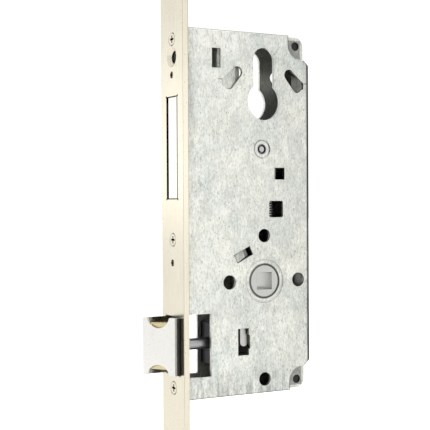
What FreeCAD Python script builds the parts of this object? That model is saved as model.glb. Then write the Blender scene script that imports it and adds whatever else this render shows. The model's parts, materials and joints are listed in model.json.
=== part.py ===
"""Euro-profile mortise sash lock, in millimetres.

Frame: X runs through the lock's thickness, Y runs from the forend into the door, Z is up.
The origin is on the spindle axis at half the case's thickness. The deadbolt and the cylinder
are above the spindle and the latch is below it. The deadbolt is withdrawn and the latch is out.
"""
import FreeCAD, Part
import math
import os

V = FreeCAD.Vector
os.makedirs("parts", exist_ok=True)

# ---- driving dimensions ----
backset = 45.0            # forend's front face to the spindle axis
centres = 85.0            # spindle axis to cylinder axis
sheet = 1.5               # case plate thickness
case_thick = 14.5
case_depth = 70.8         # forend's front face to the back of the case
case_top = 117.3
case_bottom = -53.2
forend_thick = 3.0
forend_width = 22.0
forend_top = 152.0
forend_bottom = -88.0
forend_edge = 0.15        # rounding of its long front edges
forend_back_edge = 0.4    # rounding of its long rear edges
fixing_inset = 10.0       # fixing holes from the forend's ends

bolt_z = 62.4             # deadbolt's centre line
bolt_tall = 47.0
bolt_thick = 8.6
bolt_gap = 0.5            # bolt to the slot in the case's front wall, each side
bolt_face_gap = 1.3       # bolt to the forend's slot, each side
bolt_end_gap = 0.15       # bolt to the forend's slot, at its ends
bolt_relief = 0.5         # radius of the relief in the corners of that slot
bolt_sink = 0.2           # bolt's face behind the forend's face when withdrawn
bolt_throw = 20.0
latch_z = -28.3           # latch's centre line
latch_tall = 26.2
latch_out = 12.0          # how far the latch stands out of the forend
latch_gap = 0.2
spindle_square = 8.1
stem_radius = 2.7
ear_radius = 4.2          # rounding of the rear ears about their screws

# ---- values that follow from them ----
half = case_thick / 2
inside = half - sheet
front = -backset          # forend's front face
case_front = front + forend_thick
case_back = case_depth - backset
case_middle = (case_top + case_bottom) / 2
ear_y = case_back - ear_radius
ear_z = case_top - ear_radius
beyond = 2.0              # how far a cutting tool runs past a face
tiny = 0.01               # tolerance for picking edges by their place
root_overlap = 0.2        # how far a tab's root runs into its plate


# ---- shape helpers ----
def box(x0, x1, y0, y1, z0, z1):
    return Part.makeBox(x1 - x0, y1 - y0, z1 - z0, V(x0, y0, z0))


def rod_x(y, z, radius, x0, x1):
    return Part.makeCylinder(radius, x1 - x0, V(x0, y, z), V(1, 0, 0))


def rod_y(x, z, radius, y0, y1):
    return Part.makeCylinder(radius, y1 - y0, V(x, y0, z), V(0, 1, 0))


def rod_z(y, radius, z0, z1):
    return Part.makeCylinder(radius, z1 - z0, V(0, y, z0))


def cone_y(z, radius0, radius1, y0, y1):
    return Part.makeCone(radius0, radius1, y1 - y0, V(0, y0, z), V(0, 1, 0))


def outline(path, to_point):
    """A face from a path. A pair is a straight step, four values are an arc through a point."""
    edges = []
    here = to_point(*path[0])
    for step in path[1:] + path[:1]:
        there = to_point(step[-2], step[-1])
        if len(step) == 4:
            edges.append(Part.Arc(here, to_point(step[0], step[1]), there).toShape())
        elif (there - here).Length > 1e-6:
            edges.append(Part.makeLine(here, there))
        here = there
    return Part.Face(Part.Wire(edges))


def plate_x(path, x0, x1):
    """A plate across X, outlined by (y, z) points."""
    face = outline(path, lambda y, z: V(x0, y, z))
    return face.extrude(V(x1 - x0, 0, 0))


def plate_z(path, z0, z1):
    """A block along Z, outlined by (x, y) points."""
    face = outline(path, lambda x, y: V(x, y, z0))
    return face.extrude(V(0, 0, z1 - z0))


def fuse(first, *others):
    return first.fuse(list(others)).removeSplitter()


def cut(first, *others):
    return first.cut(list(others))


def oblong(y, z, length, width, angle, x0, x1):
    """A round-ended slot through X, turned from the Y axis by an angle."""
    reach = (length - width) / 2
    middle = box(x0, x1, y - reach, y + reach, z - width / 2, z + width / 2)
    ends = [rod_x(y - reach, z, width / 2, x0, x1), rod_x(y + reach, z, width / 2, x0, x1)]
    return fuse(middle, *ends).rotate(V(0, y, z), V(1, 0, 0), angle)


def turned(shape, y, z, angle):
    shape.rotate(V(0, y, z), V(1, 0, 0), angle)
    return shape


def upside_down(shape):
    """The same feature at the other end of the case."""
    return shape.mirror(V(0, 0, case_middle), V(0, 0, 1))


def coil(radius, wire, turns, length):
    """A compression spring along +Z from the origin, with wire of the given diameter."""
    height = length - wire
    pitch = height / turns
    path = Part.Wire(Part.makeHelix(pitch, height, radius))
    rise = pitch / (2 * math.pi * radius)
    section = Part.Wire(Part.makeCircle(wire / 2, V(radius, 0, 0), V(0, 1, rise)))
    spring = path.makePipeShell([section], True, True)
    spring.translate(V(0, 0, wire / 2))
    return spring


def save(name, shape):
    print(name, "valid", shape.isValid(), "solids", len(shape.Solids), "volume", round(shape.Volume, 1))
    shape.exportStep("parts/" + name + ".step")


# ---- the case ----
ear_space = 7.0           # radius of the drawn wall about an ear's screw
ear_flat = 1.4            # straight stretch between that wall and the corner's slope
tray_ear = (0.0, sheet)   # X span of the near ear, at half the thickness
cover_ear = (-sheet, 0.0)
ear_overlap = 3.0         # how far an ear's blank runs past the wall it joins
ear_screw_radius = 2.1
window_front = case_front
window_back = -28.9       # the latch window's rear edge in the near plate
far_window_back = -29.2   # and in the far plate
window_low = -43.0
window_high = -14.0

cylinder_round = 8.9      # radius of the cylinder hole's round part
cylinder_slot = 5.75      # half the width of its straight part
cylinder_top = 110.2
cylinder_screw_z = 104.0
rose_spacing = 38.0
rose_radius = 3.35
plate_screw_radius = 3.2
plate_screws = (21.5, -46.5)
follower_radius = 7.75
journal_gap = 0.25
post_y = -1.0             # the bolt's guide post
post_end = 2.1
post_dish = 4.4           # outer radius of the dish pressed about the post's end
post_dish_floor = 4.0
post_dish_depth = 0.3
post_neck = 1.3           # the post's end is turned down to this radius
post_neck_long = 1.0
post_end_sunk = 0.35
ring_outer = 10.4         # the shallow ring pressed about the follower's journal
ring_inner = 8.4
ring_depth = 0.15
front_screws = (112.2, 20.2, -47.9)
front_rivets = (95.8, 9.6)
screw_radius = 1.75
pin_radius = 1.6
cross_reach = 1.7         # half the span of a screw's cross recess
cross_half = 0.45         # half the width of its slots
cross_depth = 1.4
screw_sink = 3.3          # radius of the case screws' countersinks
wood_sink = 4.65          # radius of the other countersinks
head_sunk = 0.2           # screw heads behind the forend's face
head_edge = 0.4           # height of the head's straight edge, which leaves a groove round it
screw_reach = 10.0        # length of the forend's screws
pin_sunk = 0.7
pin_chamfer = 0.3
pin_proud = 0.4           # the pins behind the case's front wall
case_head_radius = 3.4
case_head_tall = 2.2
case_head_round = 0.8
case_screw_sunk = 0.7     # the case screws' tips behind the near ear
wood_screw_radius = 2.6
fixing_top = forend_top - fixing_inset
fixing_bottom = forend_bottom + fixing_inset
cylinder_screw_radius = 3.0
back_notches = ((-15.1, -7.3), (-32.1, -24.1))
notch_x = 1.5             # the notches run from here to the near plate
root_marks = ((-24.7, -22.6), (22.6, 24.2))  # Y spans of the coined marks at the lanced tabs' roots
root_mark_z = 94.2
root_mark_depth = 0.3
root_mark_tall = 0.4
tray_bend = 1.2           # outer radius of the tray's bends


def case_outline(inset):
    """The case's full-thickness outline, moved inwards all round by the inset."""
    corner = math.tan(math.radians(22.5)) * inset
    back = case_back - inset
    top = case_top - inset
    low = case_bottom + inset
    reach = ear_space + inset
    knee = ear_y + ear_flat - corner
    slope_end = ear_z - ear_space - (case_back - ear_y - ear_flat) - corner
    bend = reach * math.sqrt(0.5)

    def other(z):
        return 2 * case_middle - z

    return [
        (case_front + inset, low), (case_front + inset, top), (ear_y - reach, top),
        (ear_y - reach, ear_z), (ear_y - bend, ear_z - bend, ear_y, ear_z - reach),
        (knee, ear_z - reach), (back, slope_end), (back, other(slope_end)),
        (knee, other(ear_z - reach)), (ear_y, other(ear_z - reach)),
        (ear_y - bend, other(ear_z - bend), ear_y - reach, other(ear_z)), (ear_y - reach, low),
    ]


def ear(span):
    """One drawn ear at the top rear corner, between the case's wall and its rounded corner."""
    x0, x1 = span
    side = ear_y - ear_space
    low = ear_z - ear_space - ear_overlap
    blank = fuse(
        box(x0, x1, side, ear_y, low, case_top),
        box(x0, x1, side, case_back, low, ear_z),
        rod_x(ear_y, ear_z, ear_radius, x0, x1),
    )
    body = plate_x(case_outline(0), x0 - beyond, x1 + beyond)
    return cut(blank, body, rod_x(ear_y, ear_z, ear_screw_radius, x0 - beyond, x1 + beyond))


def euro_hole(x0, x1):
    round_part = rod_x(0, centres, cylinder_round, x0, x1)
    slot = box(x0, x1, -cylinder_slot, cylinder_slot, centres, cylinder_top - cylinder_slot)
    end = rod_x(0, cylinder_top - cylinder_slot, cylinder_slot, x0, x1)
    return fuse(round_part, slot, end)


lance_root = 22.4         # distance of the lanced tabs' roots from the cylinder's centre line
lance_z = 94.3
lance_long = 6.5
lance_wide = 8.0
lance_tilt = 30.0
front_lance = (95.6, 9.3, 10.8, 11.0)  # height, length, width and tilt of the near plate's front tab
rear_lance = (94.3, 4.8, 8.0, 40.0)
slant_slot_y = 16.6
slant_slot_z = 95.3
slant_slot_long = 12.5
slant_slot_wide = 5.3
slant_slot_angle = 51.5
lance_outline = (         # outline of a lanced tab's space, for the slot on the +Y side
    (17.0, 91.2), (19.1, 90.2), (lance_root, 91.8), (lance_root, 94.6), (16.2, 99.8), (15.0, 96.0),
)


def slant_window(side, x0, x1):
    """One of the two slanted slots beside the cylinder, with the space its lanced tab came from."""
    slot = oblong(side * slant_slot_y, slant_slot_z, slant_slot_long, slant_slot_wide,
                  -side * slant_slot_angle, x0, x1)
    tab_space = plate_x([(side * y, z) for y, z in lance_outline], x0, x1)
    return fuse(slot, tab_space)


def lanced_tab(window, root_y, root_z, direction, length, width, face, inwards, tilt=lance_tilt):
    """A tab cut on three sides and bent into the case, kept inside its own window's outline."""
    strip = box(0, sheet, -root_overlap, length, -width / 2, width / 2)
    strip.rotate(V(0, 0, 0), V(0, 0, 1), tilt)
    strip.translate(V(-sheet, 0, 0))
    if inwards > 0:
        strip = strip.mirror(V(0, 0, 0), V(1, 0, 0))
    strip.rotate(V(0, 0, 0), V(1, 0, 0), direction)
    strip.translate(V(face, root_y, root_z))
    return strip.common(window)


def plate_holes(x0, x1, latch_window_back):
    """The holes that both case plates share."""
    holes = [euro_hole(x0, x1), rod_x(0, 0, follower_radius + journal_gap, x0, x1)]
    for side in (-1, 1):
        holes.append(rod_x(side * rose_spacing / 2, 0, rose_radius, x0, x1))
        holes.append(slant_window(side, x0, x1))
    for z in plate_screws:
        holes.append(rod_x(0, z, plate_screw_radius, x0, x1))
    holes.append(rod_x(post_y, bolt_z, post_end, x0, x1))
    holes.append(box(x0, x1, window_front - beyond, latch_window_back, window_low, window_high))
    return holes


def slant_tab(side, sizes, face, inwards):
    """The tab of one slanted slot, on the plate whose outer face is at the given X."""
    z, length, width, tilt = sizes
    window = slant_window(side, -half, half)
    direction = 180 if side > 0 else 0
    return lanced_tab(window, side * lance_root, z, direction, length, width, face, inwards, tilt)


def turned_flange(y, side, low, high, depth):
    """A window's edge at Y, turned into the near plate with a round bend. The window is on the given side."""
    centre = V(half - flange_bend, y, low)
    tall = high - low
    outer = Part.makeCylinder(flange_bend, tall, centre)
    inner = Part.makeCylinder(flange_bend - sheet, tall, centre)
    y0, y1 = sorted((y, y + side * flange_bend))
    bend = cut(outer, inner).common(box(half - flange_bend, half, y0, y1, low, high))
    y0, y1 = sorted((y + side * (flange_bend - sheet), y + side * flange_bend))
    return fuse(bend, box(half - depth, half - flange_bend, y0, y1, low, high))


spring_window = (2.8, 10.5, 30.1, 37.9)
spring_window_corner = 0.8
bolt_window = (5.4, 11.5, 48.1, 53.7)
corner_window = (-27.8, -22.7, 99.5, 108.6)
fork_window = (-14.6, -8.8, -34.5, -21.9)
fork_side_window = (-9.5, -8.1, -31.6, -25.1)
stop_y, stop_z, stop_angle = -11.4, 12.7, 26.0
stop_long, stop_wide = 9.4, 4.4
stop_tab_end = 2.9        # where the stop tab ends, from its window's middle
stop_gap = 0.35           # clear space beside the stop tab
stop_tilt = 15.0
flange_bend = 2.0         # outer radius of the turned-in edges
corner_flange_depth = 4.7
bolt_flange_depth = 3.0


def near_windows(x0, x1):
    """The openings that only the near plate has."""
    spans = (bolt_window, corner_window, fork_window, fork_side_window)
    windows = [box(x0, x1, *span) for span in spans]
    spring_side = box(x0, x1, *spring_window)
    edges = [edge for edge in spring_side.Edges if edge.BoundBox.XLength > tiny]
    windows.append(spring_side.makeFillet(spring_window_corner, edges))
    reach = stop_long / 2
    rise = stop_wide / 2
    stop = box(x0, x1, stop_y - reach, stop_y + reach, stop_z - rise, stop_z + rise)
    windows.append(turned(stop, stop_y, stop_z, stop_angle))
    return windows


def near_tabs():
    """The stop tab by the follower, and the turned-in edges of two windows."""
    lean = math.radians(stop_angle)
    reach = stop_long / 2
    rise = stop_wide / 2 - stop_gap
    root_y = stop_y - reach * math.cos(lean)
    root_z = stop_z - reach * math.sin(lean)
    start = stop_y - reach - root_overlap
    stop_space = box(0, half, start, stop_y + stop_tab_end, stop_z - rise, stop_z + rise)
    turned(stop_space, stop_y, stop_z, stop_angle)
    stop = lanced_tab(stop_space, root_y, root_z, stop_angle, stop_long, stop_wide, half, -1, stop_tilt)
    corner = turned_flange(corner_window[1], -1, corner_window[2], corner_window[3], corner_flange_depth)
    bolt_side = turned_flange(bolt_window[0], 1, bolt_window[2], bolt_window[3], bolt_flange_depth)
    return [stop, corner, bolt_side]


def front_holes():
    """The holes in the tray's front wall, behind the forend."""
    y0 = case_front - beyond
    y1 = case_front + sheet + beyond
    wide = bolt_thick / 2 + bolt_gap
    tall = bolt_tall / 2 + bolt_gap
    holes = [box(-wide, wide, y0, y1, bolt_z - tall, bolt_z + tall)]
    holes.append(box(-half, inside, y0, y1, window_low, window_high))
    holes.append(rod_y(0, cylinder_screw_z, cylinder_screw_radius, y0, y1))
    holes += [rod_y(0, z, screw_radius, y0, y1) for z in front_screws]
    holes += [rod_y(0, z, pin_radius, y0, y1) for z in front_rivets]
    return holes


def pressing():
    """The near pressing's outer form as a solid block, with its bends."""
    body = plate_x(case_outline(0), -inside, half)
    rim = [edge for edge in body.Edges
           if edge.BoundBox.XMin > half - tiny and edge.BoundBox.YMax > case_front + tiny]
    return body.makeFillet(tray_bend, rim)


def tray():
    """Near plate with its bent walls, drawn ears and pressed rings."""
    body = cut(pressing(), plate_x(case_outline(sheet), -inside - beyond, inside))
    ears = ear(tray_ear)
    body = fuse(body, ears, upside_down(ears))
    ring = cut(rod_x(0, 0, ring_outer, half - ring_depth, half + beyond),
               rod_x(0, 0, ring_inner, half - ring_depth, half + beyond))
    floor_at = V(half - post_dish_depth, post_y, bolt_z)
    dish = Part.makeCone(post_dish_floor, post_dish, post_dish_depth, floor_at, V(1, 0, 0))
    x0, x1 = inside - beyond, half + beyond
    holes = plate_holes(x0, x1, window_back) + near_windows(x0, x1) + front_holes()
    body = cut(body, ring, dish, *holes)
    for low, high in back_notches:
        body = cut(body, box(notch_x, half + beyond, case_back - sheet, case_back + beyond, low, high))
    for y0, y1 in root_marks:
        mark = box(half - root_mark_depth, half + beyond, y0, y1, root_mark_z, root_mark_z + root_mark_tall)
        body = cut(body, mark)
    return body


def tray_part(x0, x1):
    """The share of the near pressing between two X."""
    around = box(x0, x1, case_front - beyond, case_back + beyond, case_bottom - beyond, case_top + beyond)
    return tray().common(around)


def case_plate():
    """Face of the near pressing, with its lanced tabs and turned-in edges."""
    tabs = [slant_tab(-1, front_lance, half, -1), slant_tab(1, rear_lance, half, -1)]
    return fuse(tray_part(inside, half), *near_tabs(), *tabs)


def case_walls():
    """Bent walls of the near pressing, with its drawn ears."""
    return tray_part(-inside, inside)


def case_cover():
    """Far plate, with its own ears drawn in to meet the tray's."""
    body = plate_x(case_outline(0), -half, -inside)
    recess = rod_x(ear_y, ear_z, ear_space - sheet, -half - beyond, cover_ear[0])
    ears = fuse(cut(ear((-half, cover_ear[1])), recess), ear(cover_ear))
    body = fuse(body, ears, upside_down(ears))
    x0, x1 = -half - beyond, -inside + beyond
    body = cut(body, *plate_holes(x0, x1, far_window_back))
    holes = [rod_x(y, bracket_rivet_z, rivet_radius, x0, x1) for y in bracket_rivet_ys]
    sizes = (lance_z, lance_long, lance_wide, lance_tilt)
    return fuse(cut(body, *holes), *[slant_tab(side, sizes, -half, 1) for side in (-1, 1)])


def forend():
    """Face plate that carries the case and is let into the door's edge."""
    side = forend_width / 2
    body = box(-side, side, front, case_front, forend_bottom, forend_top)
    edges = [edge for edge in body.Edges
             if edge.BoundBox.YMax < front + tiny and edge.BoundBox.ZLength > forend_width]
    body = body.makeFillet(forend_edge, edges)
    edges = [edge for edge in body.Edges
             if edge.BoundBox.YMin > case_front - tiny and edge.BoundBox.ZLength > forend_width]
    body = body.makeFillet(forend_back_edge, edges)
    y0, y1 = front - beyond, case_front + beyond
    wide = bolt_thick / 2 + bolt_face_gap
    tall = bolt_tall / 2 + bolt_end_gap
    tools = [box(-wide, wide, y0, y1, bolt_z - tall, bolt_z + tall)]
    for x in (-wide, wide):
        tools += [rod_y(x, z, bolt_relief, y0, y1) for z in (bolt_z - tall, bolt_z + tall)]
    wide = half + latch_gap
    tall = latch_tall / 2 + 2 * latch_gap
    tools.append(box(-wide, wide, y0, y1, latch_z - tall, latch_z + tall))
    sinks = [(z, screw_sink, screw_radius) for z in front_screws]
    sinks.append((cylinder_screw_z, wood_sink, cylinder_screw_radius))
    sinks += [(z, wood_sink, wood_screw_radius) for z in (fixing_top, fixing_bottom)]
    for z, sink, hole in sinks:
        tools.append(cone_y(z, sink, hole, front, front + sink - hole))
        tools.append(rod_y(0, z, hole, y0, y1))
    tools += [rod_y(0, z, pin_radius, y0, y1) for z in front_rivets]
    return cut(body, *tools)


def forend_screws():
    """Countersunk cross-recess screws that hold the case to the forend."""
    screws = []
    neck = front + screw_sink - screw_radius
    face = front + head_sunk
    edge = face + head_edge
    floor = face + cross_depth
    head_radius = screw_sink - head_sunk - head_edge
    for z in front_screws:
        rim = rod_y(0, z, head_radius, face, edge)
        cone = cone_y(z, head_radius, screw_radius, edge, neck)
        shank = rod_y(0, z, screw_radius, neck, front + screw_reach)
        recess = [box(-cross_reach, cross_reach, front, floor, z - cross_half, z + cross_half),
                  box(-cross_half, cross_half, front, floor, z - cross_reach, z + cross_reach)]
        screws.append(cut(fuse(rim, cone, shank), *recess))
    return Part.makeCompound(screws)


def forend_rivets():
    """Staked pins through the forend and the case's front wall."""
    pins = []
    face = front + pin_sunk
    edge = face + pin_chamfer
    for z in front_rivets:
        tip = cone_y(z, pin_radius - pin_chamfer, pin_radius, face, edge)
        pins.append(fuse(tip, rod_y(0, z, pin_radius, edge, case_front + sheet + pin_proud)))
    return Part.makeCompound(pins)


def case_screws():
    """Pan-head screws through both ears at the rear corners."""
    face = cover_ear[0] - case_head_tall
    head = rod_x(ear_y, ear_z, case_head_radius, face, cover_ear[0])
    rim = [edge for edge in head.Edges if edge.BoundBox.XMax < face + tiny]
    shank = rod_x(ear_y, ear_z, ear_screw_radius, cover_ear[0], tray_ear[1] - case_screw_sunk)
    x0, x1 = face - beyond, face + cross_depth / 2
    cross = [box(x0, x1, ear_y - cross_reach, ear_y + cross_reach, ear_z - cross_half, ear_z + cross_half),
             box(x0, x1, ear_y - cross_half, ear_y + cross_half, ear_z - cross_reach, ear_z + cross_reach)]
    screw = cut(fuse(head.makeFillet(case_head_round, rim), shank), *cross)
    return Part.makeCompound([screw, upside_down(screw)])


# ---- the deadbolt ----
bolt_front = front + bolt_sink
bolt_rear = -16.5
tail_half = 1.5           # half the tail plate's thickness
tail_front = -24.5
tail_rear = 22.5
tail_low = bolt_z - 10.4
tail_high = bolt_z + 6.6
horn_top = bolt_z + 12.1
cam_reach = 17.0          # cylinder's axis to the floor of the cam's notch
cam_front, cam_rear = 5.3, 14.7
horn_wide = 3.8           # the horns on both sides of that notch
bolt_edge = 0.6           # rounding of the bolt's front edges
post_radius = 2.5
post_gap = 0.1
notch_radius = 1.5        # notches for the leaf spring's nose
bolt_pin_y = -20.5
bolt_pin_zs = (bolt_z - 5.5, bolt_z + 3.0)
bolt_pin_radius = 1.5
nose_y = -2.0             # where the leaf spring's nose meets the tail
nose_z = tail_low - 0.4


def deadbolt_head():
    """Square bolt, with a slot at its rear for the tail plate."""
    wide = bolt_thick / 2
    body = box(-wide, wide, bolt_front, bolt_rear, bolt_z - bolt_tall / 2, bolt_z + bolt_tall / 2)
    edges = [edge for edge in body.Edges if edge.BoundBox.YMax < bolt_front + tiny]
    body = body.makeFillet(bolt_edge, edges)
    slot = box(-tail_half, tail_half, tail_front, bolt_rear + beyond, tail_low, tail_high)
    pins = [rod_x(bolt_pin_y, z, bolt_pin_radius, -wide, wide) for z in bolt_pin_zs]
    return cut(body, slot, *pins)


def deadbolt_tail():
    """Plate behind the bolt, with the cam's notch, the guide slot and two notches for the spring."""
    cam_floor = centres - cam_reach
    rear = cam_rear + horn_wide
    fore = cam_front - horn_wide
    body = plate_x([
        (tail_front, tail_low), (tail_rear, tail_low), (tail_rear, tail_high), (rear, tail_high),
        (rear, horn_top), (cam_rear, horn_top), (cam_rear, cam_floor), (cam_front, cam_floor),
        (cam_front, horn_top), (fore, horn_top), (fore, tail_high), (tail_front, tail_high),
    ], -tail_half, tail_half)
    slot_half = post_radius + post_gap
    slot = fuse(
        rod_x(post_y, bolt_z, slot_half, -beyond, beyond),
        box(-beyond, beyond, post_y, tail_rear + beyond, bolt_z - slot_half, bolt_z + slot_half),
    )
    notches = [rod_x(nose_y + shift, nose_z, notch_radius, -beyond, beyond) for shift in (0, bolt_throw)]
    pins = [rod_x(bolt_pin_y, z, bolt_pin_radius, -beyond, beyond) for z in bolt_pin_zs]
    return cut(body, slot, *notches, *pins)


def deadbolt_pins():
    """Pins that hold the tail plate in the bolt."""
    wide = bolt_thick / 2
    return Part.makeCompound([rod_x(bolt_pin_y, z, bolt_pin_radius, -wide, wide) for z in bolt_pin_zs])


def bolt_guide_post():
    """Post riveted between the plates, which the bolt's tail slides along."""
    neck_start = half - post_end_sunk - post_neck_long
    return fuse(
        rod_x(post_y, bolt_z, post_radius, -inside, inside),
        rod_x(post_y, bolt_z, post_end, -half, neck_start),
        rod_x(post_y, bolt_z, post_neck, neck_start, half - post_end_sunk),
    )


# ---- the follower spring's bracket and the bolt's leaf spring ----
coil_y = 4.0              # follower spring's axis
shelf_low = 43.0
shelf_sheet = 1.2
shelf_high = shelf_low + shelf_sheet
shelf_front = -6.0
shelf_rear = 20.0
bracket_rivet_z = 47.3
bracket_rivet_ys = (-3.0, 17.0)
rivet_radius = 1.4
rivet_head_radius = 2.3
rivet_head_tall = 0.8
flange_top = 50.5
leaf_rivet_y = 15.0
leaf_rivet_radius = 1.2
leaf_head_radius = 2.0
leaf_thick = 0.6
leaf_wide = 2.5           # half the leaf's width
leaf_rear = 19.0
leaf_knee = 9.5
nose_radius = 1.2
nose_drop = 0.7           # the leaf's arms meet its nose this far below the nose's centre
nose_spread = 0.9         # and this far to each side of it
tip_y = -5.2
tip_drop = 1.6
flange_inner = -inside + shelf_sheet


def spring_bracket():
    """Bent bracket on the far plate: its shelf backs the follower spring and carries the leaf."""
    shelf = box(-inside, inside, shelf_front, shelf_rear, shelf_low, shelf_high)
    flange = box(-inside, flange_inner, shelf_front, shelf_rear, shelf_low, flange_top)
    holes = [rod_x(y, bracket_rivet_z, rivet_radius, -half, 0) for y in bracket_rivet_ys]
    holes.append(rod_z(leaf_rivet_y, leaf_rivet_radius, shelf_low - beyond, shelf_high + beyond))
    return cut(fuse(shelf, flange), *holes)


def bracket_rivets():
    """Rivets that fix the bracket to the far plate."""
    rivets = []
    for y in bracket_rivet_ys:
        head = rod_x(y, bracket_rivet_z, rivet_head_radius, flange_inner, flange_inner + rivet_head_tall)
        rivets.append(fuse(rod_x(y, bracket_rivet_z, rivet_radius, -half, flange_inner), head))
    return Part.makeCompound(rivets)


def bolt_detent_spring():
    """Leaf spring whose round nose drops into the tail's notches at both ends of the throw."""
    rest = shelf_high + leaf_thick / 2

    def strip(y0, z0, y1, z1):
        run = math.hypot(y1 - y0, z1 - z0)
        bar = box(-leaf_wide, leaf_wide, 0, run, -leaf_thick / 2, leaf_thick / 2)
        bar.rotate(V(0, 0, 0), V(1, 0, 0), math.degrees(math.atan2(z1 - z0, y1 - y0)))
        bar.translate(V(0, y0, z0))
        return bar

    arm_top = nose_z - nose_drop
    open_top = arm_top - leaf_thick / 3
    foot = strip(leaf_rear, rest, leaf_knee, rest)
    knee = rod_x(leaf_knee, rest, leaf_thick / 2, -leaf_wide, leaf_wide)
    arm = strip(leaf_knee, rest, nose_y + nose_spread, arm_top)
    nose = cut(rod_x(nose_y, nose_z, nose_radius, -leaf_wide, leaf_wide),
               rod_x(nose_y, nose_z, nose_radius - leaf_thick, -half, half),
               box(-half, half, nose_y - half, nose_y + half, nose_z - half, open_top))
    tip = strip(nose_y - nose_spread, arm_top, tip_y, nose_z - tip_drop)
    hole = rod_z(leaf_rivet_y, leaf_rivet_radius, shelf_low, rest + beyond)
    return cut(fuse(foot, knee, arm, nose, tip), hole)


def leaf_rivet():
    """Rivet that holds the leaf spring on the shelf."""
    top = shelf_high + leaf_thick
    shank = rod_z(leaf_rivet_y, leaf_rivet_radius, shelf_low, top)
    return fuse(shank, rod_z(leaf_rivet_y, leaf_head_radius, top, top + rivet_head_tall))


# ---- the follower ----
hub_radius = 11.0
hub_half = 5.55
hub_flat = 9.0            # height of the hub's flat above the spindle
fork_y = -10.3            # centre of the fork's rounded nose
fork_z = -28.5
fork_nose = 2.05
fork_inner = 3.0
fork_outer = 5.2
fork_gap_tall = 8.5       # from the nose's centre up to the top of the fork's gap
journal_sunk = 0.1        # the near journal behind the plate's face
arm_outline = (           # the arm's corners about its nose, where it leaves the hub
    (-10.4, -2.0), (fork_y - fork_nose, -11.0), (fork_y - fork_nose, fork_z),
    (fork_y, fork_z - fork_nose, fork_y + fork_nose, fork_z), (fork_y + fork_nose, -14.0),
    (2.0, -10.5),
)
pusher_half = 4.8
pusher_gap = 0.15
pusher_top = 27.5
pusher_front = -6.5
pusher_rear = 9.4
pusher_edge = 1.0
pusher_bar = 2.2          # width of the bars about its window, which clears the plate screw
pusher_room = 0.4         # clear space above that screw
coil_radius = 4.6
coil_wire = 0.85
coil_turns = 12.5
coil_space = 0.1          # springs are this much clear of their seats


def follower():
    """Hub with the spindle's square hole, two journals, a flat for its spring and a forked arm."""
    hub = rod_x(0, 0, hub_radius, -hub_half, hub_half)
    hub = cut(hub, box(-half, half, -hub_radius, hub_radius, hub_flat, hub_radius))
    arm = plate_x(list(arm_outline), -fork_outer, fork_outer)
    gap_low = fork_z - fork_nose - beyond
    gap = box(-fork_inner, fork_inner, fork_y - hub_radius, 0, gap_low, fork_z + fork_gap_tall)
    journals = rod_x(0, 0, follower_radius, -half, half - journal_sunk)
    side = spindle_square / 2
    square = box(-half - beyond, half + beyond, -side, side, -side, side)
    return cut(fuse(hub, cut(arm, gap), journals), square)


def follower_pusher():
    """Flat frame that the spring holds against the hub's flat. It is open about the plate screw."""
    low = hub_flat + pusher_gap
    body = box(-pusher_half, pusher_half, pusher_front, pusher_rear, low, pusher_top)
    high = plate_screws[0] + plate_screw_radius + pusher_room
    window = box(-half, half, pusher_front + pusher_bar, pusher_rear - pusher_bar, low + pusher_bar, high)
    edges = [edge for edge in body.Edges if edge.BoundBox.XLength > tiny]
    return cut(body.makeFillet(pusher_edge, edges), window)


def follower_spring():
    """Coil spring between the bracket's shelf and the pusher."""
    spring = coil(coil_radius, coil_wire, coil_turns, shelf_low - pusher_top - 2 * coil_space)
    spring.translate(V(0, coil_y, pusher_top + coil_space))
    return spring


# ---- the latch ----
latch_side = half
nose_front = front - latch_out
latch_rear = case_front + 0.1
bevel_nose = -5.25        # X where the bevel meets the nose's flat
bevel_end = front - 2.7   # Y where the bevel meets the latch's side
shell = 1.5
scallop_radius = 5.7
scallop_out = 1.0         # scallops' centres beyond the latch's ends
scallop_along = 0.445     # and along the bevel, as a share of it
scallop_deep = 2.0
core_short = 2.3          # the core's ends inside the shell's
core_round = 1.0
stem_front = front - 1.5  # where the stem ends inside the latch's core
stem_rear = 2.0
tail_plate_front = fork_y + fork_nose + 0.1
tail_plate_rear = tail_plate_front + 2.0
stem_step = 2.0           # radius of the stem behind its shoulder
tail_half_tall = 6.0
tail_round = 1.2
clip_thick = 0.7
clip_groove = 1.6
clip_radius = 3.6
clip_open = 1.3           # half the clip's opening
guide_front = window_back + 1.6
guide_rear = guide_front + sheet
guide_half_tall = 9.5
guide_gap = 0.08
seat_half_tall = 6.0
seat_strap = 1.5          # thickness of the seat's strap along the back wall
seat_strap_top = -6.5
spigot_radius = 2.6
spigot_long = 3.5
seat_front = 20.0
latch_coil_radius = 4.5
latch_wire = 0.9
latch_turns = 9.5


def latch_profile(inset):
    """The latch's section in X and Y, moved inwards by the inset."""
    lean = math.atan2(bevel_end - nose_front, latch_side - bevel_nose)
    along_nose = inset * math.tan(lean / 2)
    along_side = inset * math.tan((math.pi / 2 - lean) / 2)
    return [
        (-latch_side + inset, latch_rear - inset), (-latch_side + inset, nose_front + inset),
        (bevel_nose - along_nose, nose_front + inset),
        (latch_side - inset, bevel_end + along_side), (latch_side - inset, latch_rear - inset),
    ]


def scallop(z):
    """Round bite out of the bevel at one end of the latch, square to the bevel."""
    start = V(bevel_nose, nose_front, z)
    end = V(latch_side, bevel_end, z)
    centre = start + (end - start) * scallop_along
    run = (end - start).normalize()
    outward = V(run.y, -run.x, 0)
    return Part.makeCylinder(scallop_radius, scallop_deep + beyond, centre + outward * beyond, outward * -1)


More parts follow.
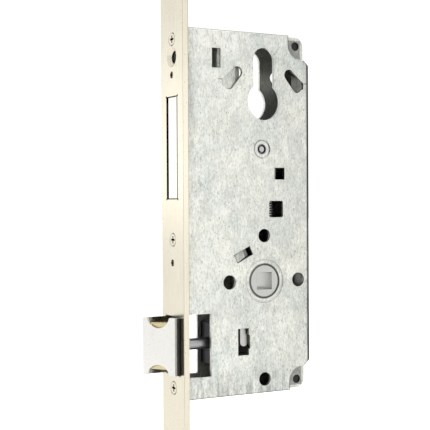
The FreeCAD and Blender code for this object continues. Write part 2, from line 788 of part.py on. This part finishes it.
def latch_head():
    """Bevelled shell of the latch, open at its ends, with a scallop at each end of the bevel."""
    low = latch_z - latch_tall / 2
    high = latch_z + latch_tall / 2
    body = plate_z(latch_profile(0), low, high)
    core = plate_z(latch_profile(shell), low - beyond, high + beyond)
    stem = rod_y(0, latch_z, stem_radius, stem_front, 0)
    return cut(body, core, scallop(low - scallop_out), scallop(high + scallop_out), stem)


def latch_core():
    """Block inside the shell, rounded off where the scallops show it."""
    low = latch_z - latch_tall / 2 + core_short
    high = latch_z + latch_tall / 2 - core_short
    body = plate_z(latch_profile(shell), low, high)
    edges = []
    for edge in body.Edges:
        bounds = edge.BoundBox
        if bounds.ZLength < tiny and bounds.XLength > tiny and bounds.YLength > tiny:
            edges.append(edge)
    body = body.makeFillet(core_round, edges)
    return cut(body, rod_y(0, latch_z, stem_radius, stem_front, 0))


def latch_stem():
    """Round rod from the latch's core back to its cross-head."""
    stem = fuse(
        rod_y(0, latch_z, stem_radius, stem_front, tail_plate_front),
        rod_y(0, latch_z, stem_step, tail_plate_front, stem_rear),
    )
    groove = cut(rod_y(0, latch_z, stem_radius, tail_plate_rear, tail_plate_rear + clip_thick),
                 rod_y(0, latch_z, clip_groove, tail_plate_rear, tail_plate_rear + clip_thick))
    return cut(stem, groove)


def latch_tail():
    """Cross-head that the follower's fork pulls back."""
    low, high = latch_z - tail_half_tall, latch_z + tail_half_tall
    body = box(-fork_outer, fork_outer, tail_plate_front, tail_plate_rear, low, high)
    edges = [edge for edge in body.Edges if edge.BoundBox.YLength > tiny]
    hole = rod_y(0, latch_z, stem_step, tail_plate_front - beyond, tail_plate_rear + beyond)
    return cut(body.makeFillet(tail_round, edges), hole)


def latch_tail_clip():
    """Retaining clip in the stem's groove, open at one side."""
    y0 = tail_plate_rear
    y1 = tail_plate_rear + clip_thick
    ring = cut(rod_y(0, latch_z, clip_radius, y0, y1), rod_y(0, latch_z, clip_groove, y0, y1))
    return cut(ring, box(-clip_open, clip_open, y0, y1, latch_z - clip_radius - beyond, latch_z))


def latch_spring():
    """Coil spring that pushes the latch out."""
    length = seat_front - tail_plate_rear - 2 * coil_space
    spring = coil(latch_coil_radius, latch_wire, latch_turns, length)
    spring.rotate(V(0, 0, 0), V(1, 0, 0), -90)
    spring.translate(V(0, tail_plate_rear + coil_space, latch_z))
    return spring


def latch_front_guide():
    """Cross plate behind the latch windows that the stem slides through."""
    low, high = latch_z - guide_half_tall, latch_z + guide_half_tall
    body = box(-inside, inside, guide_front, guide_rear, low, high)
    hole = rod_y(0, latch_z, stem_radius + guide_gap, guide_front - beyond, guide_rear + beyond)
    return cut(body, hole)


def latch_spring_seat():
    """Seat of the latch spring on the back wall. Its tongues fill the wall's two notches."""
    wall = case_back - sheet
    low, high = latch_z - seat_half_tall, latch_z + seat_half_tall
    pad = box(-inside, inside, seat_front, wall, low, high)
    strap = box(-inside, inside, wall - seat_strap, wall, high, seat_strap_top)
    spigot = rod_y(0, latch_z, spigot_radius, seat_front - spigot_long, seat_front)
    form = pressing()
    tongues = [box(notch_x, half, wall, case_back, *span).common(form) for span in back_notches]
    return fuse(pad, strap, spigot, *tongues)


PARTS = (
    forend, forend_screws, forend_rivets, case_plate, case_walls, case_cover, case_screws,
    deadbolt_head, deadbolt_tail, deadbolt_pins, bolt_guide_post, bolt_detent_spring,
    spring_bracket, bracket_rivets, leaf_rivet, follower, follower_pusher, follower_spring,
    latch_head, latch_core, latch_stem, latch_tail, latch_tail_clip, latch_spring,
    latch_front_guide, latch_spring_seat,
)

for make in PARTS:
    save(make.__name__, make())
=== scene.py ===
"""Looks of a Euro-profile mortise sash lock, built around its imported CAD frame.

Metres, in the CAD frame: X through the thickness, Y from the forend into the door, Z up.
"""

import json
import math

import bpy
from mathutils import Matrix, Vector


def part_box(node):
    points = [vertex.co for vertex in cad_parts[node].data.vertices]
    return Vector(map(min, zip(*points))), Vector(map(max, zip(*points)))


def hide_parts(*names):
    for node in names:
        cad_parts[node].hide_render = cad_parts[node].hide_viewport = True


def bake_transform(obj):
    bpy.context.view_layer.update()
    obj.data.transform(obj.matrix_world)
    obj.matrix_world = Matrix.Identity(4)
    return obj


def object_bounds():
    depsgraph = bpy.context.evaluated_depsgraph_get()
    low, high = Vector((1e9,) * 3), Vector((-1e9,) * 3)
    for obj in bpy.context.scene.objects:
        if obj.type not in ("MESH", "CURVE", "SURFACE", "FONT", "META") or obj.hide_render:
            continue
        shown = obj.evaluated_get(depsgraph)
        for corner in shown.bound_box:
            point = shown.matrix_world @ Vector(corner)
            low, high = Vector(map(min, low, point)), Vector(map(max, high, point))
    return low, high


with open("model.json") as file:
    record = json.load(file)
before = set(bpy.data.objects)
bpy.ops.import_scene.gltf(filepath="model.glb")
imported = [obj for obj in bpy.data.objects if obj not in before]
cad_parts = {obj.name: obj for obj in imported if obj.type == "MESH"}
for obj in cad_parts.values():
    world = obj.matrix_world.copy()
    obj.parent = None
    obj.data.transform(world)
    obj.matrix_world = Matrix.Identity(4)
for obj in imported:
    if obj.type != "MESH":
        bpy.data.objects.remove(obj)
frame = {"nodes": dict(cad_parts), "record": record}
cad_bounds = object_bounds()

MM = 0.001
TAU = 2 * math.pi


# ---- node helpers ----
class Graph:
    """A material, or the world, built node by node."""

    def __init__(self, tree):
        self.tree = tree
        tree.nodes.clear()

    def add(self, kind, settings=None, **inputs):
        """A node. Inputs are given by name, with _ for a space, as values or as sockets to link."""
        node = self.tree.nodes.new("ShaderNode" + kind)
        for key, value in (settings or {}).items():
            setattr(node, key, value)
        for key, value in inputs.items():
            self.feed(node.inputs[key.replace("_", " ")], value)
        return node

    def feed(self, socket, value):
        if isinstance(value, bpy.types.NodeSocket):
            self.tree.links.new(value, socket)
        else:
            socket.default_value = value

    def math(self, operation, first, second=0.0):
        node = self.add("Math", {"operation": operation})
        self.feed(node.inputs[0], first)
        self.feed(node.inputs[1], second)
        return node.outputs[0]

    def ramp(self, value, low, high, out_low=0.0, out_high=1.0, smooth=False):
        kind = "SMOOTHSTEP" if smooth else "LINEAR"
        node = self.add("MapRange", {"interpolation_type": kind}, Value=value, From_Min=low, From_Max=high,
                        To_Min=out_low, To_Max=out_high)
        return node.outputs[0]

    def mix(self, factor, first, second, blend="MIX"):
        node = self.add("Mix", {"data_type": "RGBA", "blend_type": blend})
        self.feed(node.inputs[0], factor)
        self.feed(node.inputs[6], first)
        self.feed(node.inputs[7], second)
        return node.outputs[2]

    def place(self, scale=(1, 1, 1)):
        """Object coordinates, in metres, stretched by a scale."""
        coords = self.add("TexCoord").outputs["Object"]
        return self.add("Mapping", Vector=coords, Scale=scale).outputs[0]

    def noise(self, vector, scale, detail=4.0, rough=0.55, distortion=0.0):
        node = self.add("TexNoise", Vector=vector, Scale=scale, Detail=detail, Roughness=rough,
                        Distortion=distortion)
        return node.outputs[0]

    def cells(self, vector, scale):
        """A random value for each cell of a Voronoi pattern."""
        node = self.add("TexVoronoi", Vector=vector, Scale=scale)
        return self.add("SeparateColor", Color=node.outputs["Color"]).outputs[0]

    def within(self, spans):
        """1 inside a box given by three (low, high) spans, and 0 outside."""
        axes = self.add("SeparateXYZ", Vector=self.place()).outputs
        result = None
        for axis, (low, high) in zip(axes, spans):
            inside = self.math("MULTIPLY", self.math("GREATER_THAN", axis, low),
                               self.math("LESS_THAN", axis, high))
            result = inside if result is None else self.math("MULTIPLY", result, inside)
        return result


def rgb(red, green, blue):
    return (red, green, blue, 1.0)


def metal(name, edge=0.15 * MM):
    """A graph with a metallic shader. Its edges look rounded by the given radius."""
    material = bpy.data.materials.new(name)
    material.use_nodes = True
    graph = Graph(material.node_tree)
    shader = graph.add("BsdfPrincipled", Metallic=1.0)
    output = graph.add("OutputMaterial")
    graph.tree.links.new(shader.outputs[0], output.inputs["Surface"])
    graph.shader = shader.inputs
    graph.material = material
    graph.edge = graph.add("Bevel", {"samples": 4}, Radius=edge).outputs[0]
    return graph


def crevice_shade(graph, reach=1.6 * MM, floor=0.25, fully_open=0.85):
    """Share of light left by painted shade in corners, gaps and holes, darkest where ambient occlusion finds
    them most closed in.
    """
    open_share = graph.add("AmbientOcclusion", {"samples": 8}, Distance=reach).outputs["AO"]
    return graph.ramp(open_share, 0.2, fully_open, floor, 1.0)


def dimmed(graph, colour, *shares):
    """The colour multiplied by each of the shares."""
    total = shares[0]
    for share in shares[1:]:
        total = graph.math("MULTIPLY", total, share)
    grey = graph.add("CombineXYZ", X=total, Y=total, Z=total).outputs[0]
    return graph.mix(1.0, colour, grey, "MULTIPLY")


def ring_shade(graph, y, z, inner, outer, left):
    """Share of light left in a painted dark ring about an axis along X, the shade of a gap or groove. It
    fades out at both rims.
    """
    axes = graph.add("SeparateXYZ", Vector=graph.place()).outputs
    flat = graph.add("CombineXYZ", X=0.0, Y=axes[1], Z=axes[2]).outputs[0]
    away = graph.add("VectorMath", {"operation": "DISTANCE"})
    graph.feed(away.inputs[0], flat)
    away.inputs[1].default_value = (0.0, y, z)
    distance = away.outputs["Value"]
    fade = 0.2 * MM
    rise = graph.ramp(distance, inner - fade, inner)
    fall = graph.ramp(distance, outer, outer + fade, 1.0, 0.0)
    return graph.ramp(graph.math("MULTIPLY", rise, fall), 0, 1, 1.0, left)


def finish(graph, colour, roughness, height, depth):
    """Feeds the shader: colour, roughness and a bump of the given depth in metres."""
    graph.feed(graph.shader["Base Color"], colour)
    graph.feed(graph.shader["Roughness"], roughness)
    bump = graph.add("Bump", Strength=1.0, Distance=depth, Height=height, Normal=graph.edge)
    graph.feed(graph.shader["Normal"], bump.outputs[0])
    return graph.material


# ---- materials ----
def body_inside():
    """The case's inner space, from its walls' own box."""
    low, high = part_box("case_walls")
    wall = 1.45 * MM
    return ((-5.8 * MM, 5.8 * MM), (low.y + wall, high.y - wall), (low.z + wall, high.z - wall))


def bend_shade(graph):
    """Share of light left by a painted dark reflection along the near bends. It is darkest at the back."""
    low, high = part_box("case_walls")
    axes = graph.add("SeparateXYZ", Vector=graph.place()).outputs
    back = graph.ramp(axes[1], high.y - 2.0 * MM, high.y - 1.2 * MM, 0.0, 0.93)
    top = graph.ramp(axes[2], high.z - 0.8 * MM, high.z - 0.3 * MM, 0.0, 0.6)
    foot = graph.ramp(axes[2], low.z + 0.8 * MM, low.z + 0.3 * MM, 0.0, 0.6)
    edge = graph.math("MAXIMUM", back, graph.math("MAXIMUM", top, foot))
    near = graph.ramp(axes[0], 5.8 * MM, 6.1 * MM)
    return graph.math("SUBTRACT", 1.0, graph.math("MULTIPLY", edge, near))


def mottle_and_back_shade(graph):
    """Share of light left by a mottled darkening behind the forend and along the foot, and by painted light
    at the front that fades to painted shade at the back.
    """
    axes = graph.add("SeparateXYZ", Vector=graph.place()).outputs
    mottle = graph.ramp(graph.noise(graph.place((1, 1, 0.2)), 420.0, 4.0, 0.6), 0.42, 0.68)
    front = graph.ramp(axes[1], -42 * MM, -33 * MM, 1.0, 0.0)
    upper = graph.math("MULTIPLY", front, graph.ramp(axes[2], 0.0, 90 * MM))
    foot = graph.ramp(axes[2], -53 * MM, -40 * MM, 1.0, 0.0)
    spread = graph.math("MULTIPLY", mottle, graph.math("MAXIMUM", upper, foot))
    # Painted light towards the front, fading to painted shade at the back.
    fade = graph.ramp(axes[1], -40 * MM, 25 * MM, 1.08, 0.89)
    return graph.math("MULTIPLY", fade, graph.ramp(spread, 0, 1, 1.0, 0.45))


POST_Y = -1.0 * MM
POST_Z = 62.4 * MM


def galvanised():
    """Hot-dip zinc sheet: a fine spangle, drawn streaks and dull patches, with painted shade inside the case,
    along its bends, in its ring gaps and in its corners and holes.
    """
    graph = metal("galvanised_steel", 0.2 * MM)
    streak = graph.noise(graph.place((1, 1, 0.45)), 1250.0, 6.0, 0.72)
    cloud = graph.noise(graph.place(), 60.0, 3.0, 0.5)
    tall = graph.place((1, 1, 0.5))
    spangle = graph.cells(tall, 520.0)
    speck = graph.noise(tall, 1700.0, 3.0, 0.6)
    blot = graph.noise(graph.place((1, 1, 0.6)), 420.0, 2.0, 0.5)
    inside_shade_mask = graph.within(body_inside())
    zinc = graph.mix(graph.ramp(cloud, 0.35, 0.65), rgb(0.85, 0.885, 0.835), rgb(0.91, 0.912, 0.835))
    colour = dimmed(
        graph, zinc,
        graph.ramp(streak, 0.28, 0.72, 0.68, 1.30),
        graph.ramp(spangle, 0, 1, 0.90, 1.06),
        graph.ramp(cloud, 0.3, 0.7, 0.90, 1.06),
        graph.ramp(graph.noise(graph.place((1, 1, 0.6)), 170.0, 3.0, 0.6), 0.3, 0.7, 0.88, 1.06),
        graph.ramp(speck, 0.60, 0.72, 1.0, 0.40),
        graph.ramp(blot, 0.62, 0.74, 1.0, 0.78),
        # Painted shade in the terms below: inside the case, along the near bends, fading towards the back, in
        # the ring gaps and in corners and holes. A mottled darkening behind the forend and along the foot
        # sits among them.
        graph.ramp(inside_shade_mask, 0, 1, 1.0, 0.56),
        bend_shade(graph),
        mottle_and_back_shade(graph),
        ring_shade(graph, 0.0, 0.0, 7.9 * MM, 8.3 * MM, 0.3),
        # Partly painted shade of the embossed ring, partly wear rubbed by the rose.
        ring_shade(graph, 0.0, 0.0, 9.6 * MM, 10.4 * MM, 0.86),
        ring_shade(graph, POST_Y, POST_Z, 2.0 * MM, 2.4 * MM, 0.35),
        ring_shade(graph, POST_Y, POST_Z, 4.0 * MM, 4.4 * MM, 0.6),
        crevice_shade(graph, 1.4 * MM, 0.4),
        crevice_shade(graph, 6.0 * MM, 0.65, 0.97),
    )
    graph.feed(graph.shader["Metallic"], graph.ramp(inside_shade_mask, 0, 1, 1.0, 0.25))
    roughness = graph.ramp(streak, 0.2, 0.8, 0.30, 0.44)
    return finish(graph, colour, roughness, streak, 0.02 * MM)


def brushed(name, low, high, roughness, grain=(1, 1, 0.03), edge=0.15 * MM, sides=1.0,
            contrast=0.05):
    """Plated steel with a fine grain along one direction, faint stains and painted shade in its corners and
    holes.

    Sides is the share of light left on the faces across X, a painted shade on the flat sides.
    """
    graph = metal(name, edge)
    lines = graph.noise(graph.place(grain), 2600.0, 3.0, 0.6)
    across = graph.add("SeparateXYZ", Vector=graph.add("NewGeometry").outputs["True Normal"]).outputs[0]
    side_shade = graph.ramp(graph.math("ABSOLUTE", across), 0.85, 0.95, 1.0, sides)
    cloud = graph.noise(graph.place((1, 1, 0.4)), 45.0, 3.0, 0.5)
    pits = graph.noise(graph.place(), 1500.0, 1.0, 0.4)
    plating = graph.mix(graph.ramp(cloud, 0.35, 0.68), low, high)
    # Painted shade on the faces across X and in corners and holes.
    colour = dimmed(graph, plating, graph.ramp(lines, 0.3, 0.7, 1.0 - contrast, 1.03),
                    graph.ramp(pits, 0.70, 0.76, 1.0, 0.7), side_shade, crevice_shade(graph, 2.6 * MM, 0.08, 0.9))
    rough = graph.ramp(lines, 0.25, 0.75, roughness - 0.04, roughness + 0.05)
    return finish(graph, colour, rough, lines, 0.004 * MM)


def brass():
    graph = metal("brass_core")
    swirl = graph.noise(graph.place((1, 1, 0.2)), 900.0, 3.0, 0.6)
    alloy = graph.mix(swirl, rgb(0.66, 0.56, 0.30), rgb(0.86, 0.77, 0.50))
    # Painted shade in corners and holes.
    colour = dimmed(graph, alloy, crevice_shade(graph, 1.2 * MM))
    return finish(graph, colour, graph.ramp(swirl, 0.2, 0.8, 0.2, 0.32), swirl, 0.004 * MM)


def cast():
    """Tumbled die-cast zinc, with a faint orange peel."""
    graph = metal("cast_zinc", 0.25 * MM)
    peel = graph.noise(graph.place(), 700.0, 4.0, 0.55)
    zinc = graph.mix(peel, rgb(0.52, 0.52, 0.50), rgb(0.74, 0.74, 0.71))
    # Painted shade in corners and holes, and a painted dark ring at the follower's gap.
    colour = dimmed(graph, zinc, crevice_shade(graph), ring_shade(graph, 0.0, 0.0, 7.4 * MM, 7.8 * MM, 0.35))
    return finish(graph, colour, graph.ramp(peel, 0.3, 0.7, 0.30, 0.44), peel, 0.02 * MM)


def black_oxide_and_shade():
    """Black oxide with a thin film of oil. Its near-black also stands for the shade inside the case, where
    these parts are seen through the holes.
    """
    graph = metal("black_steel")
    cloud = graph.noise(graph.place(), 500.0, 4.0, 0.6)
    colour = graph.mix(cloud, rgb(0.03, 0.03, 0.034), rgb(0.06, 0.06, 0.068))
    return finish(graph, colour, graph.ramp(cloud, 0.3, 0.7, 0.32, 0.5), cloud, 0.01 * MM)


def drawn_wire():
    graph = metal("spring_steel", 0.05 * MM)
    lines = graph.noise(graph.place(), 1300.0, 3.0, 0.6)
    wire = graph.mix(lines, rgb(0.50, 0.50, 0.51), rgb(0.74, 0.74, 0.74))
    # Painted shade where the coils close in.
    colour = dimmed(graph, wire, crevice_shade(graph, 0.5 * MM, 0.5))
    return finish(graph, colour, graph.ramp(lines, 0.3, 0.7, 0.22, 0.34), lines, 0.004 * MM)


def paint_nodes():
    """Gives every CAD node the material of its slot in the record."""
    looks = {
        "galvanised_steel": galvanised(),
        "satin_nickel": brushed("satin_nickel", rgb(0.875, 0.815, 0.67), rgb(0.925, 0.87, 0.725), 0.20,
                                edge=0.05 * MM, contrast=0.06),
        "bright_nickel": brushed("bright_nickel", rgb(0.95, 0.93, 0.89), rgb(1.0, 0.985, 0.945), 0.14,
                                 (1, 1, 0.6), sides=0.5, contrast=0.12),
        "brass_core": brass(),
        "zinc_plate": brushed("zinc_plate", rgb(0.46, 0.47, 0.48), rgb(0.62, 0.63, 0.64), 0.32, (1, 1, 1)),
        "spring_steel": drawn_wire(),
        "cast_zinc": cast(),
        "black_steel": black_oxide_and_shade(),
    }
    for part in frame["record"]["subparts"]:
        mesh = frame["nodes"][part["node"]].data
        mesh.materials.clear()
        mesh.materials.append(looks[part["material_slot"]])
    return looks


# ---- springs ----
def spring_path(radius, length, turns, closed, steps=28):
    """Points of a compression spring along +Z, with closed turns at both ends."""
    points = []
    total = int(turns * steps)
    for i in range(total + 1):
        turn = i / steps
        share = min(max((turn - closed[0]) / (turns - 2 * closed[0]), 0.0), 1.0)
        ends = min(turn, closed[0]) + max(turn - (turns - closed[0]), 0.0)
        height = ends * closed[1] + share * (length - 2 * closed[0] * closed[1])
        points.append(Vector((radius * math.cos(TAU * turn), radius * math.sin(TAU * turn), height)))
    return points


def tube(name, points, radius, sides=14):
    """A closed round tube through the points."""
    verts = []
    faces = []
    for i, point in enumerate(points):
        ahead = points[min(i + 1, len(points) - 1)] - points[max(i - 1, 0)]
        along = ahead.normalized()
        out = Vector((point.x, point.y, 0)).normalized()
        side = along.cross(out).normalized()
        out = side.cross(along)
        for k in range(sides):
            angle = TAU * k / sides
            verts.append(point + (out * math.cos(angle) + side * math.sin(angle)) * radius)
        if i:
            for k in range(sides):
                a = (i - 1) * sides + k
                b = (i - 1) * sides + (k + 1) % sides
                faces.append((a, b, b + sides, a + sides))
    faces.append(tuple(range(sides - 1, -1, -1)))
    faces.append(tuple(range(len(verts) - sides, len(verts))))
    mesh = bpy.data.meshes.new(name)
    mesh.from_pydata([v[:] for v in verts], [], faces)
    mesh.polygons.foreach_set("use_smooth", [True] * len(mesh.polygons))
    mesh.update()
    piece = bpy.data.objects.new(name, mesh)
    bpy.context.scene.collection.objects.link(piece)
    return piece


def spring(name, node, wire, turns, axis, look):
    """A coil spring in a CAD spring's place, which is hidden."""
    low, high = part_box(node)
    centre = (low + high) / 2
    span = high - low
    length = span[axis]
    radius = span[0] / 2 - wire / 2
    points = spring_path(radius, length - wire, turns, (1.0, wire * 1.02))
    piece = tube(name, points, wire / 2)
    start = centre.copy()
    end = centre.copy()
    start[axis] = low[axis]
    end[axis] = high[axis]
    turn = Matrix.Rotation(-math.pi / 2, 4, "X") if axis == 1 else Matrix.Identity(4)
    lift = Vector((0, wire / 2, 0)) if axis == 1 else Vector((0, 0, wire / 2))
    piece.data.transform(Matrix.Translation(start + lift) @ turn)
    piece.data.materials.append(look)
    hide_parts(node)
    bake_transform(piece)


# ---- studio ----
CAMERA_PLACE = Vector((438.78, -266.28, 35.85)) * MM
CAMERA_AZIMUTH = math.radians(60.957)
CAMERA_PITCH = math.radians(0.508)
CAMERA_ROLL = math.radians(-0.303)
CAMERA_LENS = 89.55


def add_camera():
    data = bpy.data.cameras.new("camera")
    data.lens = CAMERA_LENS
    data.sensor_width = 36.0
    data.clip_start = 0.01
    data.clip_end = 50.0
    camera = bpy.data.objects.new("camera", data)
    bpy.context.scene.collection.objects.link(camera)
    look = Vector((-math.sin(CAMERA_AZIMUTH) * math.cos(CAMERA_PITCH),
                   math.cos(CAMERA_AZIMUTH) * math.cos(CAMERA_PITCH), -math.sin(CAMERA_PITCH)))
    side = Vector((math.cos(CAMERA_AZIMUTH), math.sin(CAMERA_AZIMUTH), 0.0))
    top = side.cross(look)
    right = side * math.cos(CAMERA_ROLL) + top * math.sin(CAMERA_ROLL)
    up = top * math.cos(CAMERA_ROLL) - side * math.sin(CAMERA_ROLL)
    turn = Matrix((right, up, -look)).transposed().to_4x4()
    camera.matrix_world = Matrix.Translation(CAMERA_PLACE) @ turn
    bpy.context.scene.camera = camera


def dark_side(graph, direction, heading, core, rim, depth):
    """Share of light left where the room is dark about a heading. Core and rim are half angles."""
    middle = Vector(heading).normalized()
    dot = graph.add("VectorMath", {"operation": "DOT_PRODUCT"})
    graph.feed(dot.inputs[0], direction)
    dot.inputs[1].default_value = middle
    return graph.ramp(dot.outputs["Value"], math.cos(math.radians(rim)), math.cos(math.radians(core)),
                      1.0, 1.0 - depth, True)


def room_share(graph, direction):
    """Share of light by direction: the room is dark on the camera's side and behind the lock."""
    near = dark_side(graph, direction, (0.866, -0.50, 0.0), 24.0, 37.0, 0.95)
    rear = dark_side(graph, direction, (-0.20, 0.98, 0.0), 25.0, 56.0, 0.92)
    return graph.math("MULTIPLY", near, rear)


ROOM_LIGHT = 1.36
HIGH_LIGHT = 0.62         # share of it left overhead
SEEN_LIGHT = 1.05         # the paper backdrop, where the camera sees it
FLOOR_GLOW = 0.12         # light that the paper floor sends back besides the room's


def add_world():
    """A white room that is dark on two sides, so that metal edges and the case's inside read dark."""
    world = bpy.data.worlds.new("studio")
    bpy.context.scene.world = world
    world.use_nodes = True
    graph = Graph(world.node_tree)
    direction = graph.add("TexCoord").outputs["Generated"]
    height = graph.add("SeparateXYZ", Vector=direction).outputs[2]
    high = graph.ramp(height, 0.0, 0.22, ROOM_LIGHT, ROOM_LIGHT * HIGH_LIGHT, True)
    light = graph.math("MULTIPLY", room_share(graph, direction), high)
    seen = graph.add("LightPath").outputs["Is Camera Ray"]
    level = graph.math("ADD", graph.math("MULTIPLY", seen, SEEN_LIGHT),
                       graph.math("MULTIPLY", graph.math("SUBTRACT", 1.0, seen), light))
    back = graph.add("Background", Color=rgb(1.0, 1.0, 0.995), Strength=level)
    output = graph.add("OutputWorld")
    graph.tree.links.new(back.outputs[0], output.inputs["Surface"])


def add_light(name, place, target, size, power):
    data = bpy.data.lights.new(name, "AREA")
    data.shape = "RECTANGLE"
    data.size, data.size_y = size
    data.energy = power
    light = bpy.data.objects.new(name, data)
    light.location = place
    light.rotation_euler = (Vector(target) - Vector(place)).to_track_quat("-Z", "Y").to_euler()
    bpy.context.scene.collection.objects.link(light)
    return light


def add_floor():
    mesh = bpy.data.meshes.new("floor")
    reach = 8.0
    level = cad_bounds[0][2]
    corners = [(-reach, -reach, level), (reach, -reach, level), (reach, reach, level), (-reach, reach, level)]
    mesh.from_pydata(corners, [], [(0, 1, 2, 3)])
    floor = bpy.data.objects.new("floor", mesh)
    bpy.context.scene.collection.objects.link(floor)
    material = bpy.data.materials.new("floor_paper")
    material.use_nodes = True
    graph = Graph(material.node_tree)
    grain = graph.noise(graph.place(), 300.0, 2.0)
    colour = graph.mix(grain, rgb(0.93, 0.93, 0.92), rgb(0.96, 0.96, 0.955))
    direction = graph.add("VectorMath", {"operation": "NORMALIZE"})
    graph.feed(direction.inputs[0], graph.place())
    share = room_share(graph, direction.outputs[0])
    # Painted shade: the floor's colour is darker towards the dark sides of the room.
    colour = dimmed(graph, colour, share)
    seen = graph.add("LightPath").outputs["Is Camera Ray"]
    glow = graph.math("MAXIMUM", seen, graph.math("MULTIPLY", share, FLOOR_GLOW))
    shader = graph.add("BsdfPrincipled", Base_Color=colour, Roughness=0.9, Emission_Color=rgb(1, 1, 1),
                       Emission_Strength=glow)
    output = graph.add("OutputMaterial")
    graph.tree.links.new(shader.outputs[0], output.inputs["Surface"])
    mesh.materials.append(material)


looks = paint_nodes()
spring("latch_coil", "latch_spring", 0.9 * MM, 9.5, 1, looks["spring_steel"])
spring("follower_coil", "follower_spring", 0.85 * MM, 12.5, 2, looks["spring_steel"])
add_camera()
add_world()
add_floor()
add_light("overhead", (0.2, 0.2, 1.4), (0.0, 0.0, 0.0), (1.6, 1.6), 6.0)
bpy.context.scene.view_settings.view_transform = "Standard"
